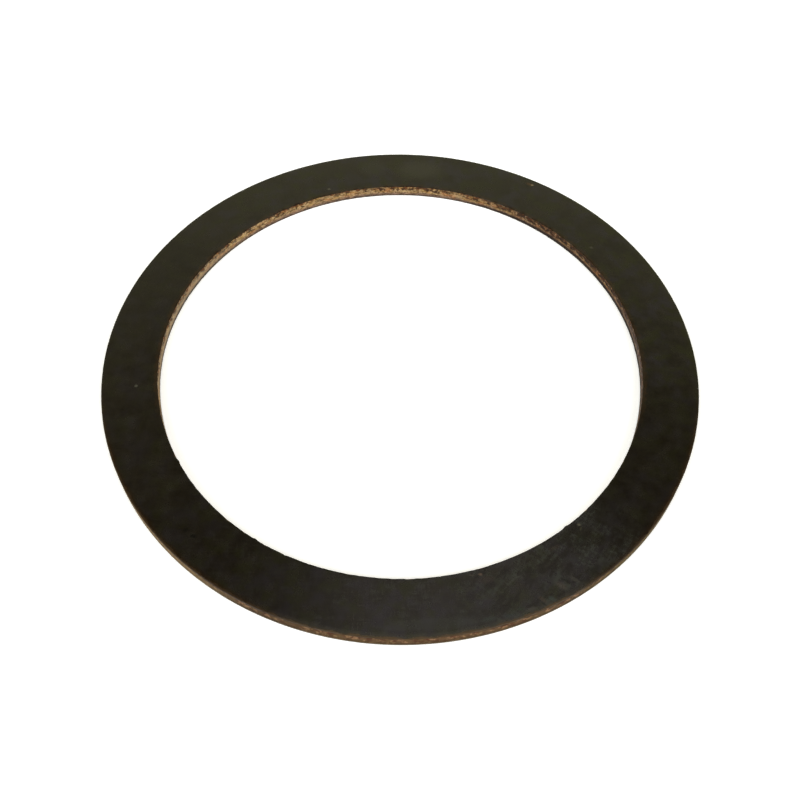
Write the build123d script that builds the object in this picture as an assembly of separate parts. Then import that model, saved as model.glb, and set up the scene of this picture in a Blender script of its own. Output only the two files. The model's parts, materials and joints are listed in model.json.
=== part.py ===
from build123d import *
import os

# A flat thrust washer, cut in one piece from fabric-filled phenolic sheet.
# It lies on its lower face. The origin is the centre of that face, and +Z is
# the axis of the shaft that the washer goes round. All sizes are millimetres.

# Finished sizes. The ring's width from bore to rim is the load-bearing land,
# so the outer diameter of 135 follows from the bore and the land.
BORE_DIAMETER = 110.0
LAND_WIDTH = 12.5
SHEET_THICKNESS = 3.0

# The cutter leaves a sharp arris on both faces, which is only rubbed off.
RIM_EDGE_BREAK = 0.15
BORE_EDGE_BREAK = 0.10


def section():
    """Half of the washer cut through its axis, drawn in the XZ plane."""
    bore = BORE_DIAMETER / 2
    rim = bore + LAND_WIDTH
    outline = Polyline(
        (bore + BORE_EDGE_BREAK, 0),
        (rim - RIM_EDGE_BREAK, 0),
        (rim, RIM_EDGE_BREAK),
        (rim, SHEET_THICKNESS - RIM_EDGE_BREAK),
        (rim - RIM_EDGE_BREAK, SHEET_THICKNESS),
        (bore + BORE_EDGE_BREAK, SHEET_THICKNESS),
        (bore, SHEET_THICKNESS - BORE_EDGE_BREAK),
        (bore, BORE_EDGE_BREAK),
        close=True,
    )
    return Plane.XZ * make_face(outline)


def thrust_washer():
    """The section turned once round the axis."""
    return revolve(section(), Axis.Z)


os.makedirs("parts", exist_ok=True)
export_step(thrust_washer(), "parts/thrust_washer.step")
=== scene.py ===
import json
import math

import bpy
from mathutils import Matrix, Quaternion, Vector


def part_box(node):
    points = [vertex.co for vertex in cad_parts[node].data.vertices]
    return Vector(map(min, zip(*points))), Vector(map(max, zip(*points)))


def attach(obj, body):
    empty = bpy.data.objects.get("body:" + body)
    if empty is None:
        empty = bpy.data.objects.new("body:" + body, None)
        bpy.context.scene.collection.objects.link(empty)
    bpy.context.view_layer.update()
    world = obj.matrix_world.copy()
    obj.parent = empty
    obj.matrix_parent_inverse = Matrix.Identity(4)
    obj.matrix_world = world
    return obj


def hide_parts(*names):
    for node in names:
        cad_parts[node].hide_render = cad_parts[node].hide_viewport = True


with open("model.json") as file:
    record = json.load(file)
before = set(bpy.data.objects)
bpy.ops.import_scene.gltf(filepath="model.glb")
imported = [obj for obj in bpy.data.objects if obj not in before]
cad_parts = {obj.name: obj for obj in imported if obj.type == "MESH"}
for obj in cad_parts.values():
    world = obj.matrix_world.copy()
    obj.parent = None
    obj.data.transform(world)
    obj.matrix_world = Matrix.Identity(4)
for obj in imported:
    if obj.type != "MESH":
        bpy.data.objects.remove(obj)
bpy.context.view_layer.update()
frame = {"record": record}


# The camera
# It stands in front of the washer and looks down into the bore, close enough for the front of the ring
# to look wider than the back. It is held 0.8 degrees out of level.
CAMERA_PLACE = Vector((0, -0.13464, 0.18168))
CAMERA_AIM = Vector((0, -0.01132, 0.0015))
CAMERA_ROLL = math.radians(0.78)
CAMERA_LENS_MM = 43.93
SENSOR_WIDTH_MM = 36

camera = bpy.data.objects.new("camera", bpy.data.cameras.new("camera"))
camera.data.lens = CAMERA_LENS_MM
camera.data.sensor_width = SENSOR_WIDTH_MM
camera.data.clip_start = 0.01
camera.location = CAMERA_PLACE
camera.rotation_mode = "QUATERNION"
level = (CAMERA_AIM - CAMERA_PLACE).to_track_quat("-Z", "Y")
camera.rotation_quaternion = level @ Quaternion((0, 0, 1), CAMERA_ROLL)
bpy.context.scene.collection.objects.link(camera)
bpy.context.scene.camera = camera


# The washer
# One flat ring cut from pressed sheet, which is cotton fabric soaked in phenolic resin. It is cut round
# once at the bore and once at the rim, and the arrises are only rubbed off. All sizes are millimetres.
MM = 0.001
low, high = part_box("thrust_washer")
dims = {mount["name"]: mount["dims"] for mount in frame["record"]["mounts"]}
THICKNESS = (high.z - low.z) / MM
BORE_RADIUS = dims["bore"]["r_mm"]
RIM_RADIUS = dims["rim"]["r_mm"]
BORE_CORNER = (THICKNESS - dims["bore"]["length_mm"]) / 2
RIM_CORNER = (THICKNESS - dims["rim"]["length_mm"]) / 2
MIDDLE_RADIUS = (BORE_RADIUS + RIM_RADIUS) / 2
STATIONS_ROUND = 1440
WALL_STEPS = 15
LAND_STEPS = 11
CORNER_STEPS = 3


def add(tree, kind, feeds=None, **settings):
    """Adds a node with its settings. An input, by name or number, gets a value, a node or an output."""
    node = tree.nodes.new(kind)
    for name, value in settings.items():
        setattr(node, name, value)
    for name, feed in (feeds or {}).items():
        if isinstance(name, int):
            socket = node.inputs[name]
        else:
            socket = next(s for s in node.inputs if s.enabled and s.name == name)
        if isinstance(feed, bpy.types.Node):
            feed = next(s for s in feed.outputs if s.enabled)
        if isinstance(feed, bpy.types.NodeSocket):
            tree.links.new(feed, socket)
        else:
            socket.default_value = feed
    return node


def section_outline():
    """The section of the ring, once round it, as points of radius and height."""
    bore_line = BORE_RADIUS + BORE_CORNER
    rim_line = RIM_RADIUS - RIM_CORNER
    corners = [
        (bore_line, BORE_CORNER, BORE_CORNER),
        (rim_line, RIM_CORNER, RIM_CORNER),
        (rim_line, THICKNESS - RIM_CORNER, RIM_CORNER),
        (bore_line, THICKNESS - BORE_CORNER, BORE_CORNER),
    ]
    arcs = []
    for quarter, (radius, height, bend) in enumerate(corners):
        turns = [math.pi / 2 * (quarter + 2 + i / CORNER_STEPS) for i in range(CORNER_STEPS + 1)]
        arcs.append([Vector((radius + bend * math.cos(a), height + bend * math.sin(a))) for a in turns])
    points = []
    for quarter, arc in enumerate(arcs):
        points += arc[:-1]
        start, end = arc[-1], arcs[(quarter + 1) % 4][0]
        on_land = quarter % 2 == 0
        steps = LAND_STEPS if on_land else WALL_STEPS
        for i in range(steps):
            share = i / steps
            if on_land:
                share = (1 - math.cos(math.pi * share)) / 2
            points.append(start.lerp(end, share))
    return points


outline = section_outline()
section = bpy.data.meshes.new("section")
section.from_pydata(
    [((p.x - MIDDLE_RADIUS) * MM, -p.y * MM, 0) for p in reversed(outline)],
    [(i, (i + 1) % len(outline)) for i in range(len(outline))],
    [],
)
washer = bpy.data.objects.new("washer", section)
bpy.context.scene.collection.objects.link(washer)

# What the cutter and the wear leave on the body, in millimetres. Cut threads lift a little into the bore,
# by a share of their relief, and the rim shows a smaller share of it all. A burr is a tongue of torn
# fibre on the bore's upper arris, given by its turn round the washer in degrees, its width and how far
# it stands out.
THREADS_PER_MM = 1.1
THREAD_RELIEF = 0.07
THREAD_LIFT = 0.55
PITS_PER_MM = 0.75
PIT_DEPTH = 0.12
STRAND_FLATNESS = 2.2
PLY_PITCH = 0.5
PLY_RELIEF = 0.012
RIM_SHARE = 0.3
CHIPS_PER_MM = 0.55
ARRIS_CHIP = 0.05
ARRIS_REACH = 0.35
FACE_FLATNESS = 0.002
EDGE_ANGLE = math.radians(8)
BURRS = [(211.7, 0.9, 0.16), (238.4, 0.7, 0.13), (308.4, 1.0, 0.18)]

turning = bpy.data.node_groups.new("turned_ring", "GeometryNodeTree")
turning.interface.new_socket("Section", in_out="INPUT", socket_type="NodeSocketGeometry")
for name, kind in (
    ("Stations Round", "NodeSocketInt"),
    ("Bore Radius", "NodeSocketFloat"),
    ("Rim Radius", "NodeSocketFloat"),
    ("Thickness", "NodeSocketFloat"),
    ("Thread Relief", "NodeSocketFloat"),
    ("Pit Depth", "NodeSocketFloat"),
    ("Arris Chip", "NodeSocketFloat"),
    ("Rim Share", "NodeSocketFloat"),
    ("Material", "NodeSocketMaterial"),
):
    turning.interface.new_socket(name, in_out="INPUT", socket_type=kind)
turning.interface.new_socket("Washer", in_out="OUTPUT", socket_type="NodeSocketGeometry")
given = add(turning, "NodeGroupInput").outputs

middle = add(turning, "ShaderNodeMath", {0: given["Bore Radius"], 1: given["Rim Radius"]}, operation="ADD")
middle = add(turning, "ShaderNodeMath", {0: middle, 1: 0.5}, operation="MULTIPLY")
path_radius = add(turning, "ShaderNodeMath", {0: middle, 1: MM}, operation="MULTIPLY")
path = add(
    turning,
    "GeometryNodeCurvePrimitiveCircle",
    {"Resolution": given["Stations Round"], "Radius": path_radius},
)
profile = add(turning, "GeometryNodeMeshToCurve", {"Mesh": given["Section"]})
swept = add(turning, "GeometryNodeCurveToMesh", {"Curve": path, "Profile Curve": profile})

# Where each point is, in millimetres, and which way leads into the material
position = add(turning, "GeometryNodeInputPosition")
place = add(turning, "ShaderNodeVectorMath", {"Vector": position, "Scale": 1 / MM}, operation="SCALE")
x_y_z = add(turning, "ShaderNodeSeparateXYZ", {"Vector": place}).outputs
flat_place = add(turning, "ShaderNodeCombineXYZ", {"X": x_y_z["X"], "Y": x_y_z["Y"]})
radius = add(turning, "ShaderNodeVectorMath", {0: flat_place}, operation="LENGTH").outputs["Value"]
outward = add(turning, "ShaderNodeVectorMath", {0: flat_place}, operation="NORMALIZE")
at_rim = add(turning, "ShaderNodeMath", {0: radius, 1: middle}, operation="GREATER_THAN")
side = add(turning, "ShaderNodeMapRange", {"Value": at_rim, "To Min": 1, "To Max": -1})
into = add(turning, "ShaderNodeVectorMath", {"Vector": outward, "Scale": side}, operation="SCALE")
wall_radius = add(
    turning,
    "ShaderNodeMix",
    {"Factor": at_rim, "A": given["Bore Radius"], "B": given["Rim Radius"]},
)
from_wall = add(turning, "ShaderNodeMath", {0: radius, 1: wall_radius}, operation="SUBTRACT")
from_wall = add(turning, "ShaderNodeMath", {0: from_wall}, operation="ABSOLUTE")
near_wall = add(
    turning,
    "ShaderNodeMapRange",
    {"Value": from_wall, "From Min": 0, "From Max": ARRIS_REACH, "To Min": 1, "To Max": 0},
    interpolation_type="SMOOTHSTEP",
)
half_height = add(turning, "ShaderNodeMath", {0: given["Thickness"], 1: 0.5}, operation="MULTIPLY")
from_middle = add(turning, "ShaderNodeMath", {0: x_y_z["Z"], 1: half_height}, operation="SUBTRACT")
from_middle_size = add(turning, "ShaderNodeMath", {0: from_middle}, operation="ABSOLUTE")
depth = add(turning, "ShaderNodeMath", {0: half_height, 1: from_middle_size}, operation="SUBTRACT")

# Threads of cotton, cut through, lie in the plies and so run level along the wall. Some ends have
# pulled out and left a pit. The lower plies are cut cleaner.
strands = add(turning, "ShaderNodeVectorMath", {0: place, 1: (1, 1, STRAND_FLATNESS)}, operation="MULTIPLY")
thread_noise = add(
    turning,
    "ShaderNodeTexNoise",
    {"Vector": strands, "Scale": THREADS_PER_MM, "Detail": 3.0, "Roughness": 0.6},
)
thread_missing = add(
    turning,
    "ShaderNodeMath",
    {0: thread_noise, 1: given["Thread Relief"]},
    operation="MULTIPLY",
)
pit_noise = add(
    turning,
    "ShaderNodeTexNoise",
    {"Vector": strands, "Scale": PITS_PER_MM, "Detail": 2.0},
)
pitted = add(
    turning,
    "ShaderNodeMapRange",
    {"Value": pit_noise, "From Min": 0.6, "From Max": 0.7},
    interpolation_type="SMOOTHSTEP",
)
wall_missing = add(
    turning,
    "ShaderNodeMath",
    {0: pitted, 1: given["Pit Depth"], 2: thread_missing},
    operation="MULTIPLY_ADD",
)
ply_turn = add(turning, "ShaderNodeMath", {0: x_y_z["Z"], 1: 2 * math.pi / PLY_PITCH}, operation="MULTIPLY")
ply_wave = add(turning, "ShaderNodeMath", {0: ply_turn}, operation="SINE")
wall_missing = add(
    turning,
    "ShaderNodeMath",
    {0: ply_wave, 1: PLY_RELIEF / 2, 2: wall_missing},
    operation="MULTIPLY_ADD",
)
share = add(turning, "ShaderNodeMix", {"Factor": at_rim, "A": 1.0, "B": given["Rim Share"]})
wall_missing = add(turning, "ShaderNodeMath", {0: wall_missing, 1: share}, operation="MULTIPLY")
lifted = add(turning, "ShaderNodeMath", {0: given["Thread Relief"], 1: THREAD_LIFT}, operation="MULTIPLY")
lifted = add(turning, "ShaderNodeMix", {"Factor": at_rim, "A": lifted, "B": 0.0})
wall_missing = add(turning, "ShaderNodeMath", {0: wall_missing, 1: lifted}, operation="SUBTRACT")
torn = add(
    turning,
    "ShaderNodeMapRange",
    {"Value": x_y_z["Z"], "From Min": 0.2, "From Max": 1.4, "To Min": 0.2, "To Max": 1},
    interpolation_type="SMOOTHSTEP",
)
wall_missing = add(turning, "ShaderNodeMath", {0: wall_missing, 1: torn}, operation="MULTIPLY")

# The arris is chipped where the resin skin has let go
chip_noise = add(
    turning,
    "ShaderNodeTexNoise",
    {"Vector": place, "Scale": CHIPS_PER_MM, "Detail": 3.0},
)
chipped = add(
    turning,
    "ShaderNodeMapRange",
    {"Value": chip_noise, "From Min": 0.48, "From Max": 0.72, "To Max": given["Arris Chip"]},
    interpolation_type="SMOOTHSTEP",
)
near_face = add(
    turning,
    "ShaderNodeMapRange",
    {"Value": depth, "From Min": 0, "From Max": ARRIS_REACH, "To Min": 1, "To Max": 0},
    interpolation_type="SMOOTHSTEP",
)
arris_missing = add(turning, "ShaderNodeMath", {0: chipped, 1: near_face}, operation="MULTIPLY")
arris_missing = add(turning, "ShaderNodeMath", {0: arris_missing, 1: share}, operation="MULTIPLY")
missing = add(turning, "ShaderNodeMath", {0: wall_missing, 1: arris_missing}, operation="ADD")

# Burrs stand the other way, so each takes from what is missing
for turn, width, reach in BURRS:
    angle = math.radians(turn)
    root = (BORE_RADIUS * math.cos(angle), BORE_RADIUS * math.sin(angle), THICKNESS)
    away = add(turning, "ShaderNodeVectorMath", {0: place, 1: root}, operation="DISTANCE").outputs["Value"]
    tongue = add(
        turning,
        "ShaderNodeMapRange",
        {"Value": away, "From Min": 0, "From Max": width, "To Min": reach, "To Max": 0},
        interpolation_type="SMOOTHSTEP",
    )
    missing = add(turning, "ShaderNodeMath", {0: missing, 1: tongue}, operation="SUBTRACT")

missing = add(turning, "ShaderNodeMath", {0: missing, 1: near_wall}, operation="MULTIPLY")
missing = add(turning, "ShaderNodeMath", {0: missing, 1: MM}, operation="MULTIPLY")
shift = add(turning, "ShaderNodeVectorMath", {"Vector": into, "Scale": missing}, operation="SCALE")
sink = add(turning, "ShaderNodeMath", {0: arris_missing, 1: near_wall}, operation="MULTIPLY")
face_side = add(turning, "ShaderNodeMath", {0: from_middle}, operation="SIGN")
sink = add(turning, "ShaderNodeMath", {0: sink, 1: face_side}, operation="MULTIPLY")
sink = add(turning, "ShaderNodeMath", {0: sink, 1: -MM}, operation="MULTIPLY")
drop = add(turning, "ShaderNodeCombineXYZ", {"Z": sink})
shift = add(turning, "ShaderNodeVectorMath", {0: shift, 1: drop}, operation="ADD")
cut = add(turning, "GeometryNodeSetPosition", {"Geometry": swept, "Offset": shift})

# The faces stay flat up to the arris, so the edge between them is sharp
edge_angle = add(turning, "GeometryNodeInputMeshEdgeAngle").outputs["Unsigned Angle"]
bent = add(turning, "ShaderNodeMath", {0: edge_angle, 1: EDGE_ANGLE}, operation="GREATER_THAN")
on_face = add(turning, "ShaderNodeMath", {0: depth, 1: FACE_FLATNESS}, operation="LESS_THAN")
arris = add(turning, "ShaderNodeMath", {0: bent, 1: on_face}, operation="MULTIPLY")
smooth = add(turning, "GeometryNodeSetShadeSmooth", {"Geometry": cut})
marked = add(
    turning,
    "GeometryNodeStoreNamedAttribute",
    {"Geometry": smooth, "Name": "sharp_edge", "Value": arris},
    data_type="BOOLEAN",
    domain="EDGE",
)
whole = add(turning, "GeometryNodeRealizeInstances", {"Geometry": marked})
finished = add(turning, "GeometryNodeSetMaterial", {"Geometry": whole, "Material": given["Material"]})
add(turning, "NodeGroupOutput", {0: finished})

# The material is cotton-fabric phenolic laminate, pressed hot between steel plates. The resin skin on the
# faces is olive black with a low sheen, and shows the cloth under it faintly. The cut walls show tan
# cotton soaked with amber resin, browner and smoother at the rim.
laminate = bpy.data.materials.new("cotton_phenolic_laminate")
laminate.use_nodes = True
tree = laminate.node_tree
tree.nodes.clear()

# Where each point is, in millimetres, and how deep it lies under the nearer face
coordinates = add(tree, "ShaderNodeTexCoord").outputs["Object"]
place = add(tree, "ShaderNodeVectorMath", {"Vector": coordinates, "Scale": 1 / MM}, operation="SCALE")
x_y_z = add(tree, "ShaderNodeSeparateXYZ", {"Vector": place}).outputs
height = x_y_z["Z"]
flat_place = add(tree, "ShaderNodeCombineXYZ", {"X": x_y_z["X"], "Y": x_y_z["Y"]})
radius = add(tree, "ShaderNodeVectorMath", {0: flat_place}, operation="LENGTH").outputs["Value"]
outward = add(tree, "ShaderNodeVectorMath", {0: flat_place}, operation="NORMALIZE")
from_middle = add(tree, "ShaderNodeMath", {0: height, 1: THICKNESS / 2}, operation="SUBTRACT")
on_top = add(tree, "ShaderNodeMath", {0: from_middle, 1: 0}, operation="GREATER_THAN")
from_middle = add(tree, "ShaderNodeMath", {0: from_middle}, operation="ABSOLUTE")
depth = add(tree, "ShaderNodeMath", {0: THICKNESS / 2, 1: from_middle}, operation="SUBTRACT")
at_rim = add(tree, "ShaderNodeMath", {0: radius, 1: MIDDLE_RADIUS}, operation="GREATER_THAN")
from_bore = add(tree, "ShaderNodeMath", {0: radius, 1: BORE_RADIUS}, operation="SUBTRACT")
from_rim = add(tree, "ShaderNodeMath", {0: RIM_RADIUS, 1: radius}, operation="SUBTRACT")


def linear(colour):
    """An sRGB hex colour as the linear RGBA that a shader takes."""
    channels = [int(colour[i : i + 2], 16) / 255 for i in (1, 3, 5)]
    return [c / 12.92 if c <= 0.04045 else ((c + 0.055) / 1.055) ** 2.4 for c in channels] + [1]


def lumps(width, stretch=(1, 1, 1), detail=3.0, roughness=0.55, turn=0):
    """Lumps about this many millimetres wide, drawn out along the axes once these are turned."""
    axes = {"Vector": place, "Rotation": (0, 0, math.radians(turn)), "Scale": stretch}
    where = add(tree, "ShaderNodeMapping", axes, vector_type="TEXTURE")
    feeds = {"Vector": where, "Scale": 1 / width, "Detail": detail, "Roughness": roughness}
    return add(tree, "ShaderNodeTexNoise", feeds)


def mask(*parts):
    """The product of its parts. Each is a number, a node, or a value with the two ends between which the
    part rises softly to one, from nought or from a fourth number."""
    ends = ("Value", "From Min", "From Max", "To Min")
    product = None
    for part in parts:
        if isinstance(part, tuple):
            part = add(tree, "ShaderNodeMapRange", dict(zip(ends, part)), interpolation_type="SMOOTHSTEP")
        if product is None:
            product = part
        else:
            product = add(tree, "ShaderNodeMath", {0: product, 1: part}, operation="MULTIPLY")
    return product


def towards(turn, start, full, least=0.0):
    """One on the side of the ring that lies at this turn in degrees, easing to the least away from it."""
    way = (math.cos(math.radians(turn)), math.sin(math.radians(turn)), 0)
    facing = add(tree, "ShaderNodeVectorMath", {0: outward, 1: way}, operation="DOT_PRODUCT")
    return mask((facing.outputs["Value"], start, full, least))


def stained(ground, *stains):
    """A ground with stains laid over it, the lowest first. Each is a colour and the parts of its mask,
    and a colour is a hex value or a node."""
    if isinstance(ground, str):
        ground = linear(ground)
    for colour, *parts in stains:
        if isinstance(colour, str):
            colour = linear(colour)
        feeds = {"Factor": mask(*parts), "A": ground, "B": colour}
        ground = add(tree, "ShaderNodeMix", feeds, data_type="RGBA")
    return ground


# Skin: cloudy where the resin pooled, with the threads of the cloth showing through both ways. At the front
# the thread print is painted paler, as painted sheen where it catches the light. Patches lean to violet and
# to olive, less on the calm left side, and two parts at the front left and right are painted darker, as
# painted shade where the face reflects less light. Turns go round the ring in degrees from its right side,
# by way of the back.
FRONT_TURN = 270
CALM_TURN = 185
SHADE_TURN = 332
SHADE_LEFT_TURN = 240
SKIN_DARK = "#14100a"
SKIN_LIGHT = "#1e1912"
SKIN_EVEN = "#1a150e"
SKIN_OLIVE = "#1c1b0a"
SKIN_VIOLET = "#1f1b1e"
SKIN_DEEP_AND_SHADE = "#0f0a03"
SKIN_SHEEN_PALE = "#30322d"
CLOUD_WIDTH = 10
BLOTCH_WIDTH = 3.5
VIOLET_WIDTH = 4.5
OLIVE_WIDTH = 3.6
THREAD_WIDTH = 0.4

warp = lumps(THREAD_WIDTH, (9, 1, 1), 2.0)
weft = lumps(THREAD_WIDTH, (1, 6, 1), 2.0)
weave = add(tree, "ShaderNodeMath", {0: warp, 1: weft}, operation="ADD")
mottle = lumps(CLOUD_WIDTH, detail=4.0)
for part, share in ((lumps(BLOTCH_WIDTH), 0.4), (weave, 0.5)):
    mottle = add(tree, "ShaderNodeMath", {0: part, 1: share, 2: mottle}, operation="MULTIPLY_ADD")
printed = add(tree, "ShaderNodeMath", {0: weave, 1: 0.7, 2: lumps(2.0)}, operation="MULTIPLY_ADD")
calm = towards(CALM_TURN, 0.4, 0.95)
lively = add(tree, "ShaderNodeMath", {0: calm, 1: -0.5, 2: 0.95}, operation="MULTIPLY_ADD")
skin = stained(
    SKIN_DARK,
    (SKIN_LIGHT, (mottle, 0.9, 1.5)),
    # the thread print at the front is painted paler, as painted sheen
    (SKIN_SHEEN_PALE, 0.35, (printed, 1.18, 1.5), towards(FRONT_TURN, 0.3, 0.95)),
    (SKIN_EVEN, 0.4, calm),
    (SKIN_VIOLET, (lumps(VIOLET_WIDTH, detail=4.0), 0.42, 0.66), lively),
    (SKIN_OLIVE, (lumps(OLIVE_WIDTH, detail=4.0), 0.46, 0.66), lively),
    # two parts painted darker, as painted shade where the face reflects less light
    (SKIN_DEEP_AND_SHADE, 0.6, towards(SHADE_TURN, 0.88, 0.98)),
    (SKIN_DEEP_AND_SHADE, 0.35, towards(SHADE_LEFT_TURN, 0.9, 1.0)),
)

# One part of the face is scuffed dull, in soft strokes that cross and blur into each other, with deep skin
# between them. The strokes are painted pale, as painted sheen where the scuffs catch the light.
SCUFF_TURN = 300
scuffed_part = towards(SCUFF_TURN, 0.92, 0.985)
strokes = add(
    tree,
    "ShaderNodeMath",
    {0: lumps(1.0, (3, 1, 1), 5.0, 0.7, turn=146), 1: lumps(0.8, (3, 1, 1), 5.0, 0.7, turn=58)},
    operation="ADD",
)
scuffs_and_sheen = mask(0.9, (strokes, 0.84, 1.34), (lumps(4.0, detail=4.0), 0.36, 0.62, 0.2), scuffed_part)
between_strokes = (lumps(1.8, (2, 1, 1), turn=50), 0.5, 0.38)
skin = stained(skin, (SKIN_SHEEN_PALE, scuffs_and_sheen), (SKIN_DEEP_AND_SHADE, 0.7, between_strokes, scuffed_part))

# Marks on the upper face. Each has a colour, a place, a length and a width in millimetres, a turn in
# degrees and a strength. First come broad patches: the paler ones at the back and the front are painted
# sheen, where the face reflects the light, and the darker ones lie at the left and the back. Then pale grit
# pressed into the skin, orange fibre showing at two chipped spots by the arrises, a dark pit with a fainter
# one beside it, and rubbed patches and streaks by the rim, the pale ones painted sheen on the scuffs.
MARKS_AND_SHEEN = [
    # the first three broad patches are painted sheen
    ("#2d2b22", (4.5, 61.5), 15.0, 9.0, 0, 0.7),
    ("#27261e", (-8.0, 62.0), 9.0, 7.0, 10, 0.5),
    ("#2e302b", (7.0, -64.3), 26.0, 3.4, 5, 0.3),
    ("#120f08", (-53.0, 30.6), 16.0, 11.0, 60, 0.4),
    ("#15120b", (22.9, 56.8), 14.0, 11.0, 158, 0.3),
    ("#4e4a3f", (-19.2, 53.8), 1.0, 0.8, 0, 0.8),
    ("#47453d", (-59.0, -9.5), 1.0, 1.0, 0, 0.8),
    ("#3f3b34", (47.1, 34.4), 1.4, 0.8, 150, 0.6),
    ("#544f43", (36.9, -42.6), 0.9, 0.8, 0, 0.7),
    ("#3a3728", (37.2, -43.5), 1.0, 0.5, 60, 0.5),
    ("#4f4137", (16.4, -53.9), 1.1, 0.7, 10, 0.8),
    ("#3d342d", (14.6, -54.1), 1.6, 0.5, 175, 0.5),
    ("#2d231c", (17.4, -55.0), 4.6, 2.0, 10, 0.4),
    ("#3a2613", (33.2, 56.6), 2.6, 1.2, 150, 0.7),
    ("#786850", (33.8, 56.3), 1.0, 0.8, 0, 0.8),
    ("#060402", (-41.4, -46.4), 1.7, 1.1, 0, 1.0),
    ("#0a0905", (-43.2, -45.0), 1.8, 1.1, 40, 0.6),
    ("#2f2b33", (44.0, 36.4), 1.8, 0.4, 40, 0.5),
    ("#34342e", (22.5, -55.2), 3.4, 0.6, 46, 0.5),
    ("#34342e", (23.9, -54.2), 1.6, 0.6, 10, 0.5),
    ("#3d3b35", (35.0, -54.7), 3.6, 1.1, 146, 0.45),
    ("#3f3832", (32.2, -56.0), 3.2, 1.6, 147, 0.5),
    ("#0d0c08", (33.3, -55.0), 3.2, 0.7, 152, 0.8),
    ("#2e3632", (30.2, -58.8), 2.0, 1.3, 155, 0.6),
    ("#3d332a", (28.3, -59.0), 2.6, 1.1, 138, 0.45),
    ("#0d0c08", (28.7, -60.0), 2.6, 0.6, 137, 0.7),
    ("#100b08", (31.6, -58.4), 2.0, 0.8, 144, 0.7),
    ("#3a3733", (26.1, -60.9), 3.0, 0.9, 19, 0.6),
    ("#222c1e", (23.9, -61.0), 1.6, 1.0, 12, 0.5),
    ("#282e2d", (21.8, -62.4), 3.2, 1.0, 10, 0.5),
    ("#282d29", (17.6, -63.2), 4.0, 1.2, 13, 0.5),
    ("#261b12", (31.5, -47.8), 3.2, 1.2, 21, 0.5),
    ("#12130a", (37.0, -46.0), 4.2, 1.8, 50, 0.5),
    ("#0f0e05", (39.0, -52.6), 3.8, 2.0, 42, 0.7),
]
TEAR_WIDTH = 0.5
TEAR_REACH = 0.5

tears = lumps(TEAR_WIDTH).outputs["Color"]
tears = add(tree, "ShaderNodeVectorMath", {0: tears, 1: (0.5, 0.5, 0.5)}, operation="SUBTRACT")
torn_place = add(
    tree,
    "ShaderNodeVectorMath",
    {0: tears, 1: (TEAR_REACH, TEAR_REACH, 0), 2: flat_place},
    operation="MULTIPLY_ADD",
)
marked = skin
for mark_colour, (x, y), long, wide, turn, strength in MARKS_AND_SHEEN:
    frame_of_mark = {
        "Vector": torn_place,
        "Location": (x, y, 0),
        "Rotation": (0, 0, math.radians(turn)),
        "Scale": (long / 2, wide / 2, 1),
    }
    within = add(tree, "ShaderNodeMapping", frame_of_mark, vector_type="TEXTURE")
    away = add(tree, "ShaderNodeVectorMath", {0: within}, operation="LENGTH").outputs["Value"]
    marked = stained(marked, (mark_colour, strength, (away, 1.1, 0.3)))
skin = stained(skin, (marked, on_top))

# Beside the bore the face is worn grey at the front, and resin from the cut has browned it elsewhere
GREY_TURN = 290
FACE_GREY = "#252223"
FACE_BROWN = "#30200f"
bore_waves = lumps(0.8, detail=4.0, roughness=0.65)
from_bore = add(tree, "ShaderNodeMath", {0: bore_waves, 1: -3, 2: from_bore}, operation="MULTIPLY_ADD")
worn_skin = stained(skin, (FACE_GREY, towards(GREY_TURN, 0.82, 0.97)))
bore_side = stained(FACE_BROWN, (worn_skin, towards(FRONT_TURN, 0.15, 0.4)))
skin = stained(skin, (bore_side, 0.55, (from_bore, -0.3, -1.2)))

# Beside the rim it is browned only along the front, with a ragged dark brown band inside that. Where the
# arris is rubbed most, the brown is tan and the band is worn grey. The right side is more olive.
TAN_TURN = 277
OLIVE_TURN = 22
FACE_TAN = "#47351f"
FACE_WORN = "#433f35"
FACE_FRINGE = "#1f1101"
SKIN_FRINGE = "#222108"
from_rim = add(tree, "ShaderNodeMath", {0: lumps(2.0), 1: -1.2, 2: from_rim}, operation="MULTIPLY_ADD")
rim_tan = towards(TAN_TURN, 0.84, 0.96)
band_strength = add(tree, "ShaderNodeMath", {0: rim_tan, 1: -0.3, 2: 0.6}, operation="MULTIPLY_ADD")
along_front = towards(FRONT_TURN, 0.1, 0.45)
browned = mask(0.95, (from_rim, 0.05, -0.45), along_front)
skin = stained(
    skin,
    (stained(FACE_FRINGE, (FACE_WORN, rim_tan)), (from_rim, 0.9, -0.2), band_strength, along_front),
    (stained(FACE_BROWN, (FACE_TAN, rim_tan)), browned),
    (SKIN_FRINGE, 0.4, (from_rim, 1.4, -0.3), towards(OLIVE_TURN, 0.75, 0.95)),
)

# The skin's sheen is uneven, and duller where it is browned or scuffed
SKIN_ROUGHNESS = 0.22
skin_roughness = add(
    tree,
    "ShaderNodeMapRange",
    {
        "Value": lumps(3.5, detail=4.0, roughness=0.6),
        "From Min": 0.3,
        "From Max": 0.7,
        "To Min": SKIN_ROUGHNESS - 0.04,
        "To Max": SKIN_ROUGHNESS + 0.08,
    },
)
for part, more in ((browned, 0.1), (scuffs_and_sheen, 0.15)):
    feeds = {0: part, 1: more, 2: skin_roughness}
    skin_roughness = add(tree, "ShaderNodeMath", feeds, operation="MULTIPLY_ADD")

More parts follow.
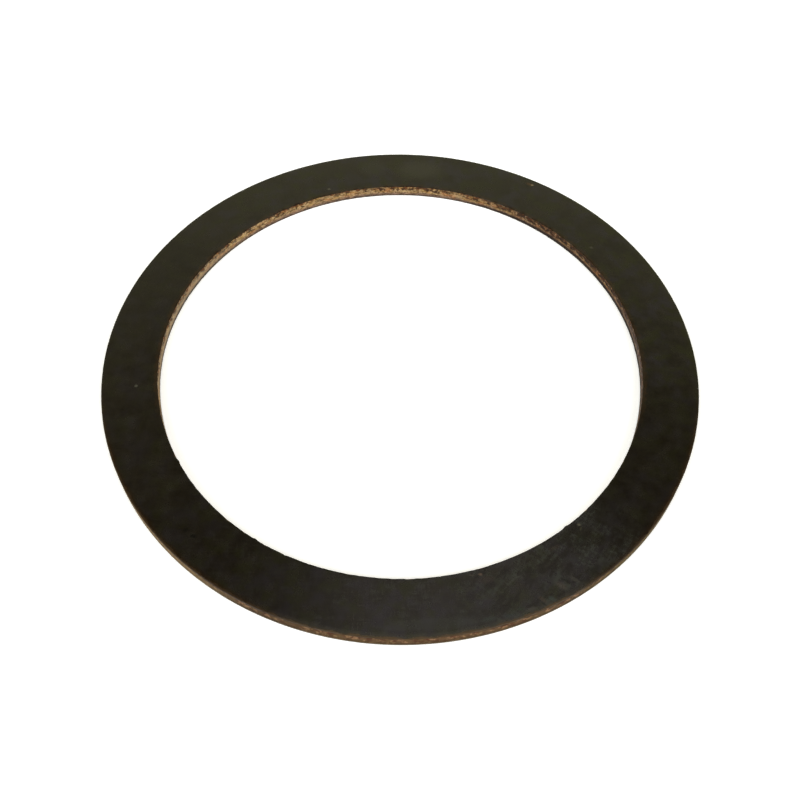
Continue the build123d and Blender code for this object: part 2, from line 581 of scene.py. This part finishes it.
# Core at the bore: threads cut lengthways or across, by which way the cloth ran in that ply, with amber
# and yellow resin between them. They are drawn a little coarser than real threads, so that they show.
# It is duller and rosier towards the bottom, and the whole is a little patchy.
CORE_DARK = "#5e3e1a"
CORE_LIGHT = "#c5a67d"
CORE_AMBER = "#a4592a"
CORE_YELLOW = "#b38d4c"
CORE_DULL = "#413129"
CORE_ROSY = "#917465"
CUT_THREAD_WIDTH = 0.6
lengthways = lumps(CUT_THREAD_WIDTH, (4, 1, 0.7), 3.0, 0.7)
crossways = lumps(CUT_THREAD_WIDTH, (1, 4, 0.7), 3.0, 0.7)
ply_turn = add(tree, "ShaderNodeMath", {0: height, 1: math.pi / PLY_PITCH}, operation="MULTIPLY")
ply_wave = add(tree, "ShaderNodeMath", {0: ply_turn}, operation="SINE")
ply_way = mask((ply_wave, -0.4, 0.4))
threads = add(tree, "ShaderNodeMix", {"Factor": ply_way, "A": lengthways, "B": crossways})
dull_height = add(tree, "ShaderNodeMath", {0: lumps(1.2), 1: 1.2, 2: height}, operation="MULTIPLY_ADD")
bore_core = stained(
    CORE_DARK,
    (CORE_LIGHT, (threads, 0.34, 0.64)),
    (CORE_AMBER, 0.45, (lumps(2.6, (1, 1, 0.5)), 0.5, 0.64)),
    (CORE_YELLOW, 0.5, (lumps(2.2, (1, 1, 0.5)), 0.48, 0.64)),
    (stained(CORE_DULL, (CORE_ROSY, (threads, 0.38, 0.62))), (dull_height, 2.1, 1.2)),
)
patchy = mask(1.07, (lumps(4.5, detail=4.0), 0.4, 0.6, 0.91 / 1.07))
bore_core = add(tree, "ShaderNodeVectorMath", {"Vector": bore_core, "Scale": patchy}, operation="SCALE")

# In the upper plies dark resin fills the holes, and a pit shows where an end has pulled out. At the right
# the wall is scorched and has burnt spots, with a lilac-grey stretch in front of them, and at the left it
# is painted paler and greyer, as painted sheen on fibres seen edge-on. Along the bottom a dark foot is
# painted shade where the wall meets the floor, and it reaches higher on both of these sides.
SOAKED_BROWN = "#301a07"
SOAKED_BLACK = "#231204"
CORE_PIT = "#2b1607"
FOOT_SHADE = "#1a110c"
SCORCH_TINT = "#d2c9d2"
SCORCH_TURN = 20
SHEEN_GREY = "#a59684"
SHEEN_TURN = 168
LILAC_GREY = "#6a6266"
LILAC_TURN = -8
upper_plies = mask((height, 1.2, 1.9))
gathered = (lumps(5.0), 0.38, 0.54, 0.5)
holes = (lumps(1.1, (1, 1, 0.8), 2.0), 0.47, 0.58)
pits = (lumps(1 / PITS_PER_MM, (1, 1, 1 / STRAND_FLATNESS), 2.0, 0.5), 0.58, 0.66)
burnt = (lumps(1.1, (1, 1, 0.7), 4.0), 0.44, 0.52)
scorched = towards(SCORCH_TURN, 0.5, 0.9)
sheen_side = towards(SHEEN_TURN, 0.8, 1.0)
foot_shade_height = height
for part, more in ((lumps(0.9), 0.4), (sheen_side, -0.3), (scorched, -0.75)):
    foot_shade_height = add(tree, "ShaderNodeMath", {0: part, 1: more, 2: foot_shade_height}, operation="MULTIPLY_ADD")
bore_core = stained(
    bore_core,
    (SOAKED_BROWN, 0.95, holes, gathered, upper_plies),
    (CORE_PIT, 0.9, pits, upper_plies),
)
bore_core = add(
    tree,
    "ShaderNodeMix",
    {"Factor": scorched, "A": bore_core, "B": linear(SCORCH_TINT)},
    data_type="RGBA",
    blend_type="MULTIPLY",
)
# The grey at the left is painted sheen, and the dark foot is painted shade where the wall meets the floor
bore_core = stained(
    bore_core,
    (SOAKED_BLACK, 0.95, burnt, scorched, upper_plies),
    (SHEEN_GREY, 0.4, sheen_side),
    (LILAC_GREY, 0.42, towards(LILAC_TURN, 0.85, 1.0)),
    (FOOT_SHADE, 0.9, (foot_shade_height, 0.9, 0.2)),
)

# Core at the rim: streaks of thread above, browner and smoother below. It is painted lightest at the front
# and darker towards the sides, as painted light and shade, and it is paler and greyer on the left and
# greenish on the right.
RIM_RED = "#4a2301"
RIM_TAN = "#5a3f24"
RIM_PALE = "#a37c5c"
RIM_OLIVE = "#402e0d"
RIM_FOOT = "#5c4c30"
RIM_PAINTED_LIGHT_TURN = 275
RIM_GREY_LEFT = "#8c7656"
RIM_GREY_LEFT_TURN = 222
RIM_GREEN = "#524214"
RIM_GREEN_TURN = 328
rim_height = add(tree, "ShaderNodeMath", {0: lumps(1.5), 1: 0.8, 2: height}, operation="MULTIPLY_ADD")
rim_core = stained(
    RIM_RED,
    (RIM_TAN, (lumps(1.5, (1, 1, 1.4), 4.0), 0.43, 0.54)),
    (RIM_PALE, 0.75, (lumps(1.2, (1, 1, 1.2)), 0.5, 0.64)),
    (RIM_GREEN, 0.4, (lumps(2.2, (1, 1, 1.2)), 0.5, 0.6)),
    (RIM_OLIVE, 0.65, (rim_height, 2.0, 1.7)),
    (RIM_FOOT, 0.8, (rim_height, 1.0, 0.75)),
)
# Painted light and shade: lightest where the rim faces the front, darker towards the sides
rim_painted_light = towards(RIM_PAINTED_LIGHT_TURN, 0.87, 0.985, least=0.72)
rim_core = add(tree, "ShaderNodeVectorMath", {"Vector": rim_core, "Scale": rim_painted_light}, operation="SCALE")
green_patches = (lumps(1.5, detail=4.0), 0.4, 0.6, 0.3 / 0.85)
rim_core = stained(
    rim_core,
    (RIM_GREY_LEFT, 0.5, towards(RIM_GREY_LEFT_TURN, 0.92, 1.0)),
    (RIM_GREEN, 0.85, green_patches, towards(RIM_GREEN_TURN, 0.88, 0.97)),
)
core = stained(bore_core, (rim_core, at_rim))

# The skin's resin soaks unevenly into the plies under it, further from the upper face and where the bore
# is scorched, and less at the rim. Depths are in millimetres.
SOAKED_RED = "#6c3a15"
RIM_ARRIS = "#35200a"
PALE_TURN = 125
TOP_REACH = 1.4
UNDER_REACH = 0.2
RIM_REACH = 0.3
top_reach = TOP_REACH
for part, more in ((towards(PALE_TURN, 0.9, 1.0), -0.5), (scorched, 0.4)):
    top_reach = add(tree, "ShaderNodeMath", {0: part, 1: more, 2: top_reach}, operation="MULTIPLY_ADD")
soak_most = add(tree, "ShaderNodeMix", {"Factor": on_top, "A": UNDER_REACH, "B": top_reach})
soak_most = add(tree, "ShaderNodeMix", {"Factor": at_rim, "A": soak_most, "B": RIM_REACH})
soak_least = add(tree, "ShaderNodeMix", {"Factor": at_rim, "A": 0.1, "B": 0.05})
fine_lumps = lumps(1.1, detail=4.0, roughness=0.7)
soak_lumps = add(tree, "ShaderNodeMix", {"Factor": 0.5, "A": lumps(5.0), "B": fine_lumps})
soak_depth = add(
    tree,
    "ShaderNodeMapRange",
    {"Value": soak_lumps, "From Min": 0.41, "From Max": 0.6, "To Min": soak_least, "To Max": soak_most},
)
under_soak = add(tree, "ShaderNodeMath", {0: depth, 1: soak_depth}, operation="SUBTRACT")
soaked = mask(0.9, (under_soak, 0.1, -0.1), (lumps(1.0, (1, 1, 0.7), 4.0), 0.57, 0.48, 0.1))
soak_colour = stained(
    SOAKED_BROWN,
    (SOAKED_RED, (lumps(0.9, (1, 1, 0.6)), 0.47, 0.58)),
    (SOAKED_BLACK, 0.5, scorched),
    (RIM_ARRIS, at_rim),
)
skinned = mask((depth, 0.09, 0.02))
colour = stained(core, (soak_colour, soaked), (skin, skinned))

# The pressed skin swells softly over the cloth and is smooth, and the cut threads are rough. Widths and
# heights are in millimetres.
SWELL_WIDTH = 2.6
SWELL_HEIGHT = 0.005
THREAD_PRINT = 0.0008
CUT_BUMP = 0.08
CUT_ROUGHNESS = 1.0
PHENOLIC_IOR = 1.45
roughness = add(tree, "ShaderNodeMix", {"Factor": skinned, "A": CUT_ROUGHNESS, "B": skin_roughness})
swell = add(tree, "ShaderNodeMath", {0: lumps(SWELL_WIDTH), 1: SWELL_HEIGHT}, operation="MULTIPLY")
skin_relief = add(tree, "ShaderNodeMath", {0: weave, 1: THREAD_PRINT, 2: swell}, operation="MULTIPLY_ADD")
cut_relief = add(tree, "ShaderNodeMath", {0: threads, 1: CUT_BUMP}, operation="MULTIPLY")
relief = add(tree, "ShaderNodeMix", {"Factor": skinned, "A": cut_relief, "B": skin_relief})
bump = add(tree, "ShaderNodeBump", {"Height": relief, "Distance": MM, "Strength": 1.0})
surface = add(
    tree,
    "ShaderNodeBsdfPrincipled",
    {"Base Color": colour, "Roughness": roughness, "IOR": PHENOLIC_IOR, "Normal": bump},
)
add(tree, "ShaderNodeOutputMaterial", {"Surface": surface})

# The tree turns the section into the ring, which becomes the washer's own mesh
modifier = washer.modifiers.new("turned_ring", "NODES")
modifier.node_group = turning
sizes = {
    "Stations Round": STATIONS_ROUND,
    "Bore Radius": BORE_RADIUS,
    "Rim Radius": RIM_RADIUS,
    "Thickness": THICKNESS,
    "Thread Relief": THREAD_RELIEF,
    "Pit Depth": PIT_DEPTH,
    "Arris Chip": ARRIS_CHIP,
    "Rim Share": RIM_SHARE,
    "Material": laminate,
}
for socket in turning.interface.items_tree:
    if socket.name in sizes:
        modifier[socket.identifier] = sizes[socket.name]
bpy.context.view_layer.update()
turned = washer.evaluated_get(bpy.context.evaluated_depsgraph_get())
washer_mesh = bpy.data.meshes.new_from_object(turned)
washer.modifiers.clear()
washer.data = washer_mesh
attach(washer, "root")
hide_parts("thrust_washer")


# The floor
# A white sheet that the washer lies on. It is lit like the washer and keeps its soft shadow, which is
# deepest in the crack along the washer's foot.
FLOOR_HALF = 20
FLOOR_WHITE = "#e6e6e6"
FLOOR_LIFT = 0.5
CRACK_REACH = 0.6

floor_mesh = bpy.data.meshes.new("floor")
corners = [(-1, -1), (1, -1), (1, 1), (-1, 1)]
floor_mesh.from_pydata([(FLOOR_HALF * x, FLOOR_HALF * y, low.z) for x, y in corners], [], [(0, 1, 2, 3)])
floor = bpy.data.objects.new("floor", floor_mesh)
bpy.context.scene.collection.objects.link(floor)
paper = bpy.data.materials.new("white_paper")
paper.use_nodes = True
tree = paper.node_tree
tree.nodes.clear()
matt = add(tree, "ShaderNodeBsdfDiffuse", {"Color": linear(FLOOR_WHITE)})
rays = add(tree, "ShaderNodeLightPath").outputs
seen = add(tree, "ShaderNodeMath", {0: rays["Is Camera Ray"], 1: rays["Is Glossy Ray"]}, operation="ADD")
seen = add(tree, "ShaderNodeMath", {0: seen, 1: rays["Is Transmission Ray"]}, operation="ADD")
open_sky = add(tree, "ShaderNodeAmbientOcclusion", {"Distance": CRACK_REACH * MM}, samples=4).outputs["AO"]
lift = add(
    tree,
    "ShaderNodeMapRange",
    {"Value": open_sky, "From Min": 0.2, "From Max": 0.6, "To Max": FLOOR_LIFT},
    interpolation_type="SMOOTHSTEP",
)
lift = add(tree, "ShaderNodeMath", {0: seen, 1: lift}, operation="MULTIPLY")
glow = add(tree, "ShaderNodeEmission", {"Strength": lift})
both = add(tree, "ShaderNodeAddShader", {0: matt, 1: glow})
add(tree, "ShaderNodeOutputMaterial", {"Surface": both})
floor_mesh.materials.append(paper)


# The light
# A studio with cream walls under a dim ceiling, and two broad soft lights over the shoulders of whoever
# looks at the washer. A pale panel overhead shows as the sheen on the front of the ring.
WALL_CREAM = "#fffbce"
WALL_LIGHT = 0.82
WALL_TOP = math.sin(math.radians(38))
WALL_FADE = math.sin(math.radians(55))
CEILING_LIGHT = 0.03
PANEL_WARM = "#fff7f2"
PANEL_SIDES = (0.24, 0.24)
PANEL_PLACE = Vector((0.05, 0.13, 0.6))
PANEL_WATTS = 0.14
LIGHT_COOL = "#f6f9ff"
LIGHT_CLIMB = math.radians(48)
LIGHT_SPREAD = math.radians(40)
LIGHT_STRENGTH = 1.35

world = bpy.data.worlds.new("studio")
bpy.context.scene.world = world
world.use_nodes = True
tree = world.node_tree
tree.nodes.clear()
direction = add(tree, "ShaderNodeTexCoord").outputs["Generated"]
upward = add(tree, "ShaderNodeSeparateXYZ", {"Vector": direction}).outputs["Z"]
strength = add(
    tree,
    "ShaderNodeMapRange",
    {
        "Value": upward,
        "From Min": WALL_TOP,
        "From Max": WALL_FADE,
        "To Min": WALL_LIGHT,
        "To Max": CEILING_LIGHT,
    },
    interpolation_type="SMOOTHSTEP",
)
background = add(tree, "ShaderNodeBackground", {"Color": linear(WALL_CREAM), "Strength": strength})
add(tree, "ShaderNodeOutputWorld", {"Surface": background})

for name, turn in (("left_light", -140), ("right_light", -40)):
    light = bpy.data.objects.new(name, bpy.data.lights.new(name, "SUN"))
    light.data.energy = LIGHT_STRENGTH
    light.data.color = linear(LIGHT_COOL)[:3]
    light.data.angle = LIGHT_SPREAD
    across = Vector((math.cos(math.radians(turn)), math.sin(math.radians(turn)), 0))
    light.location = across * math.cos(LIGHT_CLIMB) + Vector((0, 0, math.sin(LIGHT_CLIMB)))
    light.rotation_euler = light.location.to_track_quat("Z", "Y").to_euler()
    bpy.context.scene.collection.objects.link(light)

panel = bpy.data.objects.new("panel", bpy.data.lights.new("panel", "AREA"))
panel.data.shape = "RECTANGLE"
panel.data.size, panel.data.size_y = PANEL_SIDES
panel.data.energy = PANEL_WATTS
panel.data.color = linear(PANEL_WARM)[:3]
panel.location = PANEL_PLACE
bpy.context.scene.collection.objects.link(panel)
bpy.context.scene.view_settings.view_transform = "Standard"
